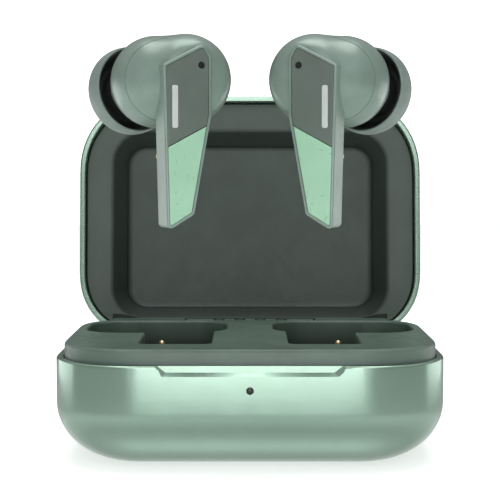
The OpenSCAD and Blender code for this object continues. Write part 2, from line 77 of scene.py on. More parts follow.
CORNER_FRONT = 15.0
CORNER_BACK = 12.5
CORNER_POWER = 2.2
UNDER_W, UNDER_H = 12.0, 10.0
CROWN_W, CROWN_H = 9.5, 7.5
SHELL_T = 1.2
PART_GAP = 0.3
LID_Z = RIM_Z + PART_GAP
TOP_Z = LID_Z + 10.2
RING_Z = TRAY_Z + PART_GAP
RECESS_TOP = TOP_Z - 2.9
LID_WALL = 1.0

HINGE = Vector(joint("lid_hinge")["pos_m"]) / MM
LID_OPEN = -math.radians(max(joint("lid_hinge")["range_deg"]))
KNUCKLE_R = 1.6
SWEEP_R = 3.2
SPINE_HALF = 26.0
BLOCK_HALF = 12.1

LIGHT_Z = 13.6
LIGHT_R = 0.55
NOTCH_HALF = 15.0
NOTCH_H = 1.35
USB_W, USB_H, USB_Z = 9.5, 3.8, 7.1

# An earbud's own frame: X from the outer to the inner edge of its face, Y back from the face, Z up
TOE_IN = math.radians(22)
BUD_EDGE_X = -12.7
BUD_PLACE = Vector((BUD_EDGE_X, BUD_LOW.y, BUD_LOW.z))
BUD_H = 27.9
FACE_W = 7.6
STEM_D = 5.3
FACE = [(0.6, 0), (4.85, 2.5), (FACE_W, 17.4), (FACE_W, 25.8), (6.5, BUD_H), (0, 24.6)]
FACE_ROUND = [0.7, 0.7, 3.0, 1.2, 0.9, 0.6]
SPLIT = [(0, 12.1), (FACE_W, 16.1)]
HEAD_CENTRE = np.array((5.6, 6.05, 22.8))
HEAD_R = 6.9
TIP_CENTRE = np.array((0.0, 16.2, 21.5))
SOUND_TILT = math.radians(97.5)
SOUND_TURN = math.radians(104)
SOUND_AXIS = np.array((
    math.sin(SOUND_TILT) * math.cos(SOUND_TURN),
    math.sin(SOUND_TILT) * math.sin(SOUND_TURN),
    math.cos(SOUND_TILT),
))
CUP_CENTRE = TIP_CENTRE - 7.7 * SOUND_AXIS
CUP_R = 7.0
NOZZLE_R = 2.6
NOZZLE_END = 3.4


# ------------------------------------------------------------------ outlines

def arc(cx, cy, r, start, end, steps, power=2.0):
    """Points on a round (or slightly squared) corner; angles in degrees."""
    points = []
    for i in range(steps + 1):
        t = math.radians(start + (end - start) * i / steps)
        c, s = math.cos(t), math.sin(t)
        points.append((
            cx + r * math.copysign(abs(c) ** (2 / power), c),
            cy + r * math.copysign(abs(s) ** (2 / power), s),
        ))
    return points


def case_outline(inset, steps=14):
    """Plan outline of the case, moved inwards by inset. Every inset gives the same count of points."""
    w, d = HALF_W - inset, HALF_D - inset
    back, front = CORNER_BACK - inset, CORNER_FRONT - inset
    corners = [
        arc(w - back, d - back, back, 0, 90, steps, CORNER_POWER),
        arc(-w + back, d - back, back, 90, 180, steps, CORNER_POWER),
        arc(-w + front, -d + front, front, 180, 270, steps, CORNER_POWER),
        arc(w - front, -d + front, front, 270, 360, steps, CORNER_POWER),
    ]
    result = []
    side_steps = 10
    for corner, following in zip(corners, corners[1:] + corners[:1]):
        result += corner
        a, b = corner[-1], following[0]
        for i in range(1, side_steps):
            f = i / side_steps
            result.append((a[0] + (b[0] - a[0]) * f, a[1] + (b[1] - a[1]) * f))
    return result


def moved_in(points, inset):
    """A closed anticlockwise polygon with every side moved inwards by inset."""
    result = []
    count = len(points)
    for i in range(count):
        before, here, after = (Vector(points[(i + k) % count]) for k in (-1, 0, 1))
        u, v = (here - before).normalized(), (after - here).normalized()
        p = here + Vector((-u.y, u.x)) * inset
        q = here + Vector((-v.y, v.x)) * inset
        turn = u.x * v.y - u.y * v.x
        f = 0 if abs(turn) < 1e-6 else ((q - p).x * v.y - (q - p).y * v.x) / turn
        result.append(tuple(p + u * f))
    return result


def rounded(points, radii, inset=0.0, steps=6):
    """A polygon moved inwards, with rounded corners. Moving in widens a hollow corner and tightens others."""
    polygon = moved_in(points, inset)
    result = []
    count = len(polygon)
    for i in range(count):
        before, here, after = (Vector(polygon[(i + k) % count]) for k in (-1, 0, 1))
        u, v = (before - here).normalized(), (after - here).normalized()
        hollow = u.x * v.y - u.y * v.x > 0
        r = max(0.05, radii[i] + (inset if hollow else -inset))
        half = u.angle(v) / 2
        run = r / math.tan(half)
        centre = here + (u + v).normalized() * (r / math.sin(half))
        first, last = here + u * run - centre, here + v * run - centre
        sweep = first.angle_signed(last)
        for k in range(steps + 1):
            result.append(tuple(centre + Matrix.Rotation(-sweep * k / steps, 2) @ first))
    return result


def clipped(points, through, inward):
    """The part of a convex polygon on the inward side of a line."""
    through, inward = Vector(through), Vector(inward)
    result = []
    for a, b in zip(points, points[1:] + points[:1]):
        a, b = Vector(a), Vector(b)
        da, db = (a - through).dot(inward), (b - through).dot(inward)
        if da >= 0:
            result.append(tuple(a))
        if da * db < 0:
            result.append(tuple(a + (b - a) * (da / (da - db))))
    return result


def at_height(points, z):
    return [(x, y, z) for x, y in points]


def round_over(r, steps, inward_from=0.0):
    """Offsets and heights around a quarter circle, as (distance inwards, distance below the top)."""
    return [
        (inward_from + r * (1 - math.cos(a)), r * (1 - math.sin(a)))
        for a in (math.pi / 2 * i / steps for i in range(steps + 1))
    ]


def smooth_curve(points, steps=5):
    """A Catmull-Rom curve through 2-D points, closed."""
    result = []
    count = len(points)
    for i in range(count):
        p = [np.array(points[(i + k) % count], float) for k in (-1, 0, 1, 2)]
        for k in range(steps):
            t = k / steps
            result.append(tuple(0.5 * (
                2 * p[1] + (p[2] - p[0]) * t
                + (2 * p[0] - 5 * p[1] + 4 * p[2] - p[3]) * t ** 2
                + (3 * p[1] - p[0] - 3 * p[2] + p[3]) * t ** 3
            )))
    return result


# ------------------------------------------------------------------ meshes

SHARP = math.radians(30)


class Solid:
    """Rings of points and the faces between them, in millimetres."""

    def __init__(self):
        self.points = []
        self.faces = []

    def ring(self, points):
        start = len(self.points)
        self.points += [tuple(p) for p in points]
        return list(range(start, len(self.points)))

    def band(self, a, b):
        count = len(a)
        for i in range(count):
            j = (i + 1) % count
            self.faces.append((a[i], a[j], b[j], b[i]))

    def stack(self, rings):
        made = [self.ring(r) for r in rings]
        for a, b in zip(made, made[1:]):
            self.band(a, b)
        return made

    def fill(self, loop):
        """Closes a flat end."""
        self.faces.append(tuple(loop))

    def fan(self, loop, tip):
        centre = self.ring([tip])[0]
        for i, j in zip(loop, loop[1:] + loop[:1]):
            self.faces.append((i, j, centre))

    def moved(self, place):
        self.points = [tuple(place(Vector(p))) for p in self.points]
        return self


def shade(mesh, limit=SHARP):
    """Smooth shading, with the edges that turn more than the limit left sharp."""
    shape = bmesh.new()
    shape.from_mesh(mesh)
    bmesh.ops.remove_doubles(shape, verts=shape.verts, dist=1e-7)
    bmesh.ops.recalc_face_normals(shape, faces=shape.faces)
    for face in shape.faces:
        face.smooth = True
    for edge in shape.edges:
        edge.smooth = len(edge.link_faces) == 2 and edge.calc_face_angle(0) < limit
    shape.to_mesh(mesh)
    shape.free()


def new_object(name, solid):
    mesh = bpy.data.meshes.new(name)
    mesh.from_pydata([Vector(p) * MM for p in solid.points], [], solid.faces)
    shade(mesh)
    item = bpy.data.objects.new(name, mesh)
    bpy.context.collection.objects.link(item)
    return item


def carve(item, cutters):
    """Cuts closed solids out of a piece, and keeps the result as its mesh."""
    tools = [new_object("cutter", c) for c in cutters]
    for tool in tools:
        cut = item.modifiers.new("cut", "BOOLEAN")
        cut.object = tool
        cut.solver = "EXACT"
    graph = bpy.context.evaluated_depsgraph_get()
    mesh = bpy.data.meshes.new_from_object(item.evaluated_get(graph))
    item.modifiers.clear()
    item.data = mesh
    for tool in tools:
        bpy.data.objects.remove(tool)
    shade(mesh)


def piece(item, body, material, replaces=()):
    """Gives a finished mesh its body, its finish and the CAD nodes that it stands for."""
    item.data.materials.clear()
    item.data.materials.append(material)
    weigh = item.modifiers.new("normals", "WEIGHTED_NORMAL")
    weigh.keep_sharp = True
    weigh.weight = 80
    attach(item, body)
    if replaces:
        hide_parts(*replaces)
    return item


def prism(points, low, high, axis="z"):
    """A closed cutter: an outline in the plane across an axis, between two places along it."""
    order = {
        "x": lambda u, v, w: (w, u, v),
        "y": lambda u, v, w: (u, w, v),
        "z": lambda u, v, w: (u, v, w),
    }[axis]
    solid = Solid()
    rings = solid.stack([[order(u, v, w) for u, v in points] for w in (low, high)])
    solid.fill(rings[0])
    solid.fill(rings[1])
    return solid


def circle(cx, cy, r, steps=40):
    return arc(cx, cy, r, 0, 360, steps)[:-1]


def swung(v):
    """A point of the closed lid, where it is with the lid open."""
    return Matrix.Rotation(LID_OPEN, 3, "X") @ (v - HINGE) + HINGE


def bud_placer(side):
    """Takes an earbud's own frame to its upright place; side is 1 for the left and -1 for the right."""
    turn = Matrix.Rotation(TOE_IN, 3, "Z")

    def place(v):
        p = BUD_PLACE + turn @ v
        return Vector((side * p.x, p.y, p.z))

    return place


# ------------------------------------------------------------------ materials

def tone(hex_colour):
    """A screen colour as the linear value that the shaders use."""
    parts = [int(hex_colour[i:i + 2], 16) / 255 for i in (1, 3, 5)]
    return (*(c / 12.92 if c <= 0.04045 else ((c + 0.055) / 1.055) ** 2.4 for c in parts), 1)


class Finish:
    """A procedural material in one node tree, with its textures fixed to the piece."""

    def __init__(self, name, **sockets):
        self.material = bpy.data.materials.new(name)
        self.material.use_nodes = True
        self.tree = self.material.node_tree
        self.shader = self.tree.nodes["Principled BSDF"]
        self.place = self.tree.nodes.new("ShaderNodeTexCoord").outputs["Object"]
        for socket, value in sockets.items():
            self.shader.inputs[socket.replace("_", " ").title()].default_value = value
        self.bump_end = None

    def node(self, kind, inputs=(), **settings):
        made = self.tree.nodes.new("ShaderNode" + kind)
        for key, value in settings.items():
            setattr(made, key, value)
        for key, value in dict(inputs).items():
            if isinstance(value, bpy.types.NodeSocket):
                self.tree.links.new(value, made.inputs[key])
            else:
                made.inputs[key].default_value = value
        return made

    def noise(self, size_mm, detail=3.0, roughness=0.55, stretch=(1, 1, 1)):
        """Noise from 0 to 1, with features of about size_mm; stretch makes them longer along an axis."""
        mapped = self.node("Mapping", {"Vector": self.place, "Scale": [1 / s for s in stretch]})
        made = self.node("TexNoise", {
            "Vector": mapped.outputs[0], "Scale": 1 / (size_mm * MM),
            "Detail": detail, "Roughness": roughness,
        })
        return made.outputs[0]

    def cells(self, size_mm, feature="F1", output="Distance"):
        made = self.node("TexVoronoi", {"Vector": self.place, "Scale": 1 / (size_mm * MM)}, feature=feature)
        return made.outputs[output]

    def spread(self, value, low, high, from_low=0.3, from_high=0.7):
        made = self.node("MapRange", {
            "Value": value, "From Min": from_low, "From Max": from_high, "To Min": low, "To Max": high,
        })
        return made.outputs[0]

    def edges(self, start=0.505, end=0.56):
        """1 on convex edges and 0 on flats."""
        point = self.node("NewGeometry").outputs["Pointiness"]
        return self.spread(point, 0, 1, start, end)

    def blend(self, factor, a, b):
        made = self.node("Mix", {"Factor": factor}, data_type="RGBA")
        for socket, value in ((made.inputs[6], a), (made.inputs[7], b)):
            if isinstance(value, bpy.types.NodeSocket):
                self.tree.links.new(value, socket)
            else:
                socket.default_value = value
        return made.outputs[2]

    def times(self, a, b, operation="MULTIPLY"):
        return self.node("Math", {0: a, 1: b}, operation=operation).outputs[0]

    def colour(self, value):
        self.tree.links.new(value, self.shader.inputs["Base Color"])
        return self

    def rough(self, value):
        self.tree.links.new(value, self.shader.inputs["Roughness"])
        return self

    def bump(self, height, depth_mm, strength=1.0):
        """Adds relief; each further call adds to the ones before it."""
        made = self.node("Bump", {"Height": height, "Distance": depth_mm * MM, "Strength": strength})
        if self.bump_end:
            self.tree.links.new(self.bump_end, made.inputs["Normal"])
        self.bump_end = made.outputs[0]
        self.tree.links.new(self.bump_end, self.shader.inputs["Normal"])
        return self


def make_sage_paint():
    """Metallic lacquer: fine flakes under a clear coat with a faint orange peel."""
    f = Finish("sage_paint", metallic=0.82, coat_weight=0.55, coat_roughness=0.09)
    flakes = f.cells(0.09, output="Color")
    flake = f.node("SeparateColor", {"Color": flakes}).outputs[0]
    drift = f.spread(f.noise(9, 2), 0, 1)
    base = f.blend(drift, tone("#a3bfae"), tone("#9bb8a6"))
    sparkle = f.blend(f.spread(flake, 0, 1, 0, 1), tone("#95b3a1"), tone("#aecaba"))
    colour = f.blend(0.4, base, sparkle)
    worn = f.times(f.edges(0.52, 0.6), f.spread(f.noise(2.2, 4), 0, 0.25, 0.5, 0.75))
    f.colour(f.blend(worn, colour, tone("#c6d6cb")))
    f.rough(f.spread(f.noise(3.5, 5), 0.22, 0.27))
    return f.bump(f.noise(0.9, 1), 0.003, 0.3).material


def moulded(name, light, dark, rough_low, rough_high, grain_mm=0.16, grain_depth=0.012, **sockets):
    """Moulded plastic with a fine spark-eroded grain, and handling polish on its edges."""
    f = Finish(name, **sockets)
    cloud = f.spread(f.noise(6, 3), 0, 1)
    colour = f.blend(cloud, tone(light), tone(dark))
    fine = f.noise(grain_mm, 2, 0.6)
    colour = f.blend(f.times(f.spread(fine, 0, 1), 0.22), colour, tone(dark))
    worn = f.times(f.edges(), f.spread(f.noise(1.6, 4), 0.1, 0.6))
    f.colour(f.blend(f.times(worn, 0.5), colour, tone(light)))
    f.rough(f.spread(f.noise(1.3, 5), rough_low, rough_high))
    f.bump(fine, grain_depth, 0.35)
    return f.bump(f.noise(2.5, 2), 0.01, 0.2).material


def make_tray_plastic():
    """The tray's moulding, with painted shade darkening it down inside the wells."""
    f = Finish("tray_plastic", coat_weight=0.1, coat_roughness=0.3)
    height = f.node("SeparateXYZ", {0: f.place}).outputs["Z"]
    # painted shade: 0 deep in the wells, 1 near the top of the tray
    level = f.spread(height, 0, 1, (TRAY_Z - 4.5) * MM, (TRAY_Z - 0.25) * MM)
    cloud = f.spread(f.noise(6, 3), 0, 1)
    face = f.blend(cloud, tone("#586c61"), tone("#4d6055"))
    # 2c3a33 is the painted shade colour down inside the wells
    colour = f.blend(level, tone("#2c3a33"), face)
    f.colour(f.blend(f.times(f.edges(), 0.35), colour, tone("#76897f")))
    f.rough(f.spread(f.noise(1.3, 5), 0.36, 0.5))
    f.bump(f.noise(0.16, 2, 0.6), 0.012, 0.5)
    return f.bump(f.noise(2.5, 2), 0.01, 0.2).material


def make_liner_plastic():
    """The lid's dark moulding, with painted shade: faces turned away from its flats, such as the pocket
    walls, are painted much darker.
    """
    f = Finish("liner_plastic")
    flat = swung(HINGE - Vector((0, 0, 1))) - HINGE
    normal = f.node("TexCoord").outputs["Normal"]
    facing = f.node("VectorMath", {0: normal, 1: flat}, operation="DOT_PRODUCT").outputs["Value"]
    # painted shade: 1 on faces parallel to the flats, 0 on faces turned away from them, such as the pocket
    # walls
    level = f.spread(facing, 0, 1, 0.3, 0.95)
    cloud = f.spread(f.noise(6, 3), 0, 1)
    face = f.blend(cloud, tone("#4a564f"), tone("#434e47"))
    fine = f.noise(0.16, 2, 0.6)
    # 0e1411 is the painted shade colour of the pocket walls
    colour = f.blend(level, tone("#0e1411"), face)
    worn = f.times(f.edges(), 0.4)
    f.colour(f.blend(worn, colour, tone("#67756c")))
    f.rough(f.spread(f.noise(1.3, 5), 0.42, 0.56))
    f.bump(fine, 0.016, 0.5)
    return f.bump(f.noise(2.5, 2), 0.01, 0.2).material


def brushed(name, light, dark, rough, stretch, metallic=1.0, **sockets):
    """Metal with fine scratches along one axis."""
    f = Finish(name, metallic=metallic, **sockets)
    lines = f.noise(0.05, 3, 0.6, stretch)
    stain = f.spread(f.noise(1.4, 3), 0, 0.35)
    f.colour(f.blend(stain, f.blend(f.spread(lines, 0, 1), tone(light), tone(dark)), tone(dark)))
    f.rough(f.spread(lines, rough * 0.8, rough * 1.3))
    return f.bump(lines, 0.003, 0.4).material


def make_silicone(name, light, dark):
    """Soft translucent skin with a faint dust bloom."""
    f = Finish(name, subsurface_weight=0.25, subsurface_scale=0.0012, sheen_weight=0.08, sheen_roughness=0.5)
    f.shader.inputs["Subsurface Radius"].default_value = (1.0, 0.9, 0.85)
    dust = f.spread(f.noise(0.45, 6, 0.7), 0, 1, 0.5, 0.8)
    base = f.blend(f.spread(f.noise(3, 2), 0, 1), tone(light), tone(dark))
    f.colour(f.blend(f.times(dust, 0.12), base, tone("#8f9b96")))
    f.rough(f.spread(f.noise(1.1, 4), 0.42, 0.58))
    return f.bump(f.noise(0.12, 2), 0.006, 0.4).material


def make_circuit_board():
    f = Finish("circuit_board", coat_weight=0.4, coat_roughness=0.15)
    weave = f.node("TexWave", {"Vector": f.place, "Scale": 900.0, "Distortion": 1.5}, wave_type="BANDS")
    tracks = f.node("TexBrick", {"Vector": f.place, "Scale": 700.0, "Mortar Size": 0.03})
    mask = f.blend(f.spread(f.noise(2, 3), 0, 1), tone("#1c4a33"), tone("#24593f"))
    f.colour(f.blend(f.times(tracks.outputs["Fac"], 0.6), mask, tone("#5f8f5a")))
    f.rough(f.spread(f.noise(0.8, 4), 0.35, 0.5))
    return f.bump(weave.outputs["Fac"], 0.01, 0.3).material


def make_mic_mesh():
    """Dark woven screen."""
    f = Finish("screen_mesh", metallic=0.6)
    waves = [
        f.node("TexWave", {"Vector": f.place, "Scale": 1600.0}, bands_direction=axis).outputs["Fac"]
        for axis in ("X", "Z")
    ]
    weave = f.times(waves[0], waves[1])
    f.colour(f.blend(weave, tone("#0d100f"), tone("#4a514e")))
    f.rough(f.spread(f.noise(0.3, 3), 0.4, 0.6))
    return f.bump(weave, 0.03, 0.8).material


def make_light_lens():
    f = Finish("light_lens", transmission_weight=0.35, subsurface_weight=0.2, subsurface_scale=0.0008)
    f.colour(f.blend(f.spread(f.noise(0.5, 2), 0, 1), tone("#2b3832"), tone("#36453e")))
    f.rough(f.spread(f.noise(0.4, 3), 0.2, 0.35))
    return f.bump(f.noise(0.2, 2), 0.004, 0.3).material


def make_foil():
    f = Finish("cell_foil", metallic=0.9)
    crease = f.cells(2.4, feature="DISTANCE_TO_EDGE")
    f.colour(f.blend(f.spread(f.noise(1.5, 4), 0, 1), tone("#b9bec4"), tone("#9aa0a8")))
    f.rough(f.spread(f.noise(0.7, 4), 0.25, 0.45))
    return f.bump(crease, 0.06, 0.4).material


FINISHES = {
    "sage_paint": make_sage_paint(),
    "tray_plastic": make_tray_plastic(),
    "liner_plastic": make_liner_plastic(),
    "bud_green": moulded("bud_green", "#85988f", "#76897f", 0.3, 0.4, 0.3, 0.005,
                         coat_weight=0.25, coat_roughness=0.18, metallic=0.25),
    "face_grey_green": moulded("face_grey_green", "#6c7871", "#626e67", 0.3, 0.42, 0.3, 0.005,
                               coat_weight=0.3, coat_roughness=0.12, metallic=0.3),
    "mint_panel": moulded("mint_panel", "#a3ccb1", "#98c4a7", 0.26, 0.34, 0.3, 0.003,
                          coat_weight=0.3, coat_roughness=0.15, metallic=0.15),
    "chip_black": moulded("chip_black", "#2b2e30", "#1b1d1f", 0.4, 0.6, 0.1, 0.01),
    "foam_black": moulded("foam_black", "#303234", "#17191a", 0.8, 0.95, 0.35, 0.08),
    "accent_silver": brushed("accent_silver", "#dde1de", "#c8cecb", 0.42, (1, 1, 30), metallic=0.45),
    "steel": brushed("steel", "#c3c7ca", "#9da2a6", 0.3, (30, 1, 1)),
    "magnet_nickel": brushed("magnet_nickel", "#b7babd", "#8f9397", 0.25, (4, 4, 1)),
    "contact_gold": brushed("contact_gold", "#f6e6c4", "#dfc48e", 0.3, (3, 3, 1)),
    "silicone": make_silicone("silicone", "#77857f", "#6b7973"),
    # dark silicone for the inside of the ear tip skirts, painted there as shade
    "silicone_painted_shade": make_silicone("silicone_painted_shade", "#1f2724", "#161d1a"),
    "circuit_board": make_circuit_board(),
    "light_lens": make_light_lens(),
    "cell_foil": make_foil(),
    "screen_mesh": make_mic_mesh(),
}


# ------------------------------------------------------------------ case: shells

ROUND_STEPS = 6
CURVE_STEPS = 18


def quarter(width, height, steps=CURVE_STEPS):
    """An elliptical quarter curve as (distance in from the outline, distance from the flat)."""
    turns = [math.pi / 2 * i / steps for i in range(steps + 1)]
    return [(width * (1 - math.sin(a)), height * (1 - math.cos(a))) for a in turns]


def build_base_shell():
    rim_r, lip_r = 0.4, 0.2
    rings = [(UNDER_W + 2, 0.0)]
    rings += quarter(UNDER_W, UNDER_H)
    rings += [(0, UNDER_H + (RIM_Z - rim_r - UNDER_H) * f) for f in (0.35, 0.7)]
    rings += [(i, RIM_Z - d) for i, d in round_over(rim_r, ROUND_STEPS)]
    rings += [(SHELL_T - i, RIM_Z - d) for i, d in reversed(round_over(lip_r, 4))]
    inner = [(SHELL_T + i, SHELL_T + z) for i, z in quarter(UNDER_W - SHELL_T, UNDER_H - SHELL_T)]
    rings += reversed(inner)
    solid = Solid()
    made = solid.stack([at_height(case_outline(i), z) for i, z in rings])
    solid.fill(made[0])
    solid.fill(made[-1])
    item = new_object("base_shell", solid)

    side, low, high = SPINE_HALF + PART_GAP, HINGE.z - KNUCKLE_R - PART_GAP, RIM_Z + 5
    window = [(-side, low), (side, low), (side, high), (-side, high)]
    carve(item, [
        notch_cutter(),
        prism(circle(0, LIGHT_Z, LIGHT_R + 0.06), -HALF_D - 1, -HALF_D + 3, "y"),
        prism(window, HINGE.y - SWEEP_R, HALF_D + 2, "y"),
        prism(slot_outline(USB_W, USB_H), HALF_D - 4, HALF_D + 1, "y"),
    ])
    return item


def notch_cutter():
    """The thumb notch, with sloping ends and a sloping ledge."""
    slant, depth = 1.3, 0.6
    rings = []
    for behind in (-1.0, depth):
        grow = depth / 2 - behind
        half, low = NOTCH_HALF + grow, RIM_Z - NOTCH_H - grow
        outline = [(-half, RIM_Z + 1), (-half, RIM_Z), (-half + slant, low),
                   (half - slant, low), (half, RIM_Z), (half, RIM_Z + 1)]
        rings.append([(x, -HALF_D + behind, z) for x, z in outline])
    solid = Solid()
    made = solid.stack(rings)
    solid.fill(made[0])
    solid.fill(made[-1])
    return solid


def slot_outline(w, h):
    r = h / 2
    right = arc(w / 2 - r, USB_Z, r, -90, 90, 16)
    left = arc(-w / 2 + r, USB_Z, r, 90, 270, 16)
    return right + left


def build_lid_shell():
    rim_r = 0.35
    rings = [(LID_WALL, LID_Z + 0.1)]
    rings += [(LID_WALL - 0.1, LID_Z)]
    rings += [(rim_r - rim_r * math.sin(a), LID_Z + rim_r * (1 - math.cos(a)))
              for a in (math.pi / 2 * i / ROUND_STEPS for i in range(ROUND_STEPS + 1))]
    crown = [(i, TOP_Z - d) for i, d in quarter(CROWN_W, CROWN_H)]
    rings += reversed(crown)
    solid = Solid()
    made = solid.stack([at_height(case_outline(i), z) for i, z in rings])
    solid.fill(made[-1])
    inner_top = TOP_Z - LID_WALL
    inside = [(LID_WALL + i, inner_top - d) for i, d in quarter(CROWN_W - LID_WALL, CROWN_H - LID_WALL)]
    inner = solid.stack([at_height(case_outline(i), z) for i, z in reversed(inside)])
    solid.fill(inner[-1])
    solid.band(inner[0], made[0])
    item = new_object("lid_shell", solid)
    carve(item, hinge_cutters())
    swing_lid(item)
    return item


def hinge_cutters():
    reach = SPINE_HALF + PART_GAP
    low = [(HINGE.y - 1, 0), (HALF_D + 5, 0), (HALF_D + 5, HINGE.z), (HINGE.y - 1, HINGE.z)]
    return [
        prism(circle(HINGE.y, HINGE.z, SWEEP_R, 64), -reach, reach, "x"),
        prism(low, -reach, reach, "x"),
    ]


def swing_lid(item):
    to_hinge = Matrix.Translation(HINGE * MM)
    item.data.transform(to_hinge @ Matrix.Rotation(LID_OPEN, 4, "X") @ to_hinge.inverted())


def box_outline(x, y0, y1, r, steps=14, side_steps=10):
    """A rounded box in plan, with the same count of points as case_outline."""
    corners = [
        arc(x - r, y1 - r, r, 0, 90, steps),
        arc(-x + r, y1 - r, r, 90, 180, steps),
        arc(-x + r, y0 + r, r, 180, 270, steps),
        arc(x - r, y0 + r, r, 270, 360, steps),
    ]
    result = []
    for corner, following in zip(corners, corners[1:] + corners[:1]):
        result += corner
        a, b = corner[-1], following[0]
        result += [
            (a[0] + (b[0] - a[0]) * i / side_steps, a[1] + (b[1] - a[1]) * i / side_steps)
            for i in range(1, side_steps)
        ]
    return result


RECESS_X, RECESS_FRONT, RECESS_BACK = 26.5, -16.7, 20.1
RECESS_R = 6.5
RECESS_SLOPE = 3.3
LINER_T = 0.9
LINER_IN = LID_WALL + 0.15


def recess_ring(inset, z):
    r = max(0.6, RECESS_R - inset)
    return at_height(box_outline(RECESS_X - inset, RECESS_FRONT + inset, RECESS_BACK - inset, r), z)


def build_lid_liner():
    edge = LINER_IN
    lip_r, floor_r = 0.5, 1.1
    depth = RECESS_TOP - RING_Z
    slope = RECESS_SLOPE / depth
    front = [
        at_height(case_outline(edge), RING_Z + LINER_T),
        at_height(case_outline(edge), RING_Z + 0.15),
        at_height(case_outline(edge + 0.15), RING_Z),
    ]
    for i in range(ROUND_STEPS + 1):
        a = math.pi / 2 * i / ROUND_STEPS
        front.append(recess_ring(-lip_r * (1 - math.sin(a)) + slope * lip_r * (1 - math.cos(a)),
                                 RING_Z + lip_r * (1 - math.cos(a))))
    for f in (0.3, 0.6):
        z = lip_r + (depth - lip_r - floor_r) * f
        front.append(recess_ring(slope * z, RING_Z + z))
    for i in range(ROUND_STEPS + 1):
        a = math.pi / 2 * i / ROUND_STEPS
        z = depth - floor_r + floor_r * math.sin(a)
        inset = slope * (depth - floor_r) + floor_r * (1 - math.cos(a)) + 0.2 * i / ROUND_STEPS
        front.append(recess_ring(inset, RING_Z + z))
    solid = Solid()
    made = solid.stack(front)
    solid.fill(made[-1])
    back = solid.stack([
        recess_ring(-LINER_T, RING_Z + LINER_T),
        recess_ring(slope * depth - LINER_T, RECESS_TOP + LINER_T),
    ])
    solid.fill(back[-1])
    solid.band(made[0], back[0])
    item = new_object("lid_liner", solid)
    carve(item, hinge_cutters())
    swing_lid(item)
    return item


# ------------------------------------------------------------------ case: tray and hinge

STEM_WELL = (-18.4, -6.4, -14.4, 6.5, 16.4, 1.5)
HEAD_WELL = (-26.5, -4.2, 1.6, 18.6, 9.1, 5.5)
TIP_WELL = (-29.2, -13.6, 0.6, 18.6, 2.5, 6.0)
TRAY_PLATE = 1.5
TRAY_WALL = 0.9
SKIRT_Z = RIM_Z - 2


def well_ring(well, grow, z, side):
    x0, x1, y0, y1, _, r = well
    mid = (x0 + x1) / 2
    outline = box_outline((x1 - x0) / 2 + grow, y0 - grow, y1 + grow, r + grow, 10, 6)
    return [((x + mid) * side, y, z) for x, y in outline[::side]]


def well_cutter(well, side):
    """One well, with a rounded floor edge and a rounded rim where it meets the top of the tray."""
    rim_r, floor_r = 0.45, 0.8
    floor = well[4]
    rings = []
    for i in range(5):
        a = math.pi / 2 * i / 4
        z = floor + floor_r * (1 - math.cos(a))
        rings.append(well_ring(well, -floor_r * (1 - math.sin(a)), z, side))
    for i in range(ROUND_STEPS + 1):
        a = math.pi / 2 * i / ROUND_STEPS
        rings.append(well_ring(well, rim_r * (1 - math.cos(a)), TRAY_Z - rim_r + rim_r * math.sin(a), side))
    rings.append(well_ring(well, rim_r, TRAY_Z + 1, side))
    solid = Solid()
    made = solid.stack(rings)
    solid.fill(made[0])
    solid.fill(made[-1])
    return solid


def well_wall(well, side):
    solid = Solid()
    made = solid.stack([
        well_ring(well, TRAY_WALL, max(SHELL_T + 0.2, well[4] - TRAY_WALL), side),
        well_ring(well, TRAY_WALL, TRAY_Z - 0.6, side),
    ])
    solid.fill(made[0])
    solid.fill(made[-1])
    return solid


def cavity(gap, top):
    """The space inside the base shell, held off its wall by gap."""
    inner = SHELL_T + gap
    rings = [(inner + i, inner + z) for i, z in quarter(UNDER_W - inner, UNDER_H - inner)] + [(inner, top)]
    solid = Solid()
    made = solid.stack([at_height(case_outline(i), z) for i, z in rings])
    solid.fill(made[0])
    solid.fill(made[-1])
    return solid


def combine(item, solid, operation):
    tool = new_object("tool", solid)
    join = item.modifiers.new("join", "BOOLEAN")
    join.object = tool
    join.operation = operation
    join.solver = "EXACT"
    graph = bpy.context.evaluated_depsgraph_get()
    mesh = bpy.data.meshes.new_from_object(item.evaluated_get(graph))
    item.modifiers.clear()
    item.data = mesh
    bpy.data.objects.remove(tool)


def spine_outline():
    """The rounded back edge of the tray beside the hinge, concentric with the hinge pin."""
    r = SWEEP_R - PART_GAP
    low = HINGE.z - KNUCKLE_R
    points = [(HINGE.y - r, low)]
    start = math.degrees(math.asin((low - HINGE.z) / r))
    end = math.degrees(math.asin((TRAY_Z - HINGE.z) / r))
    for y, z in arc(HINGE.y, HINGE.z, r, start, end, 12):
        points.append((min(y, HALF_D - 0.1), z))
    points.append((HINGE.y - r, TRAY_Z))
    return points


def lug_outline():
    back = math.degrees(math.acos((HALF_D - TRAY_IN - HINGE.y) / KNUCKLE_R))
    points = arc(HINGE.y, HINGE.z, KNUCKLE_R, -back, 180, 20)
    return points + [(HINGE.y - KNUCKLE_R, SKIRT_Z), (HALF_D - TRAY_IN, SKIRT_Z)]


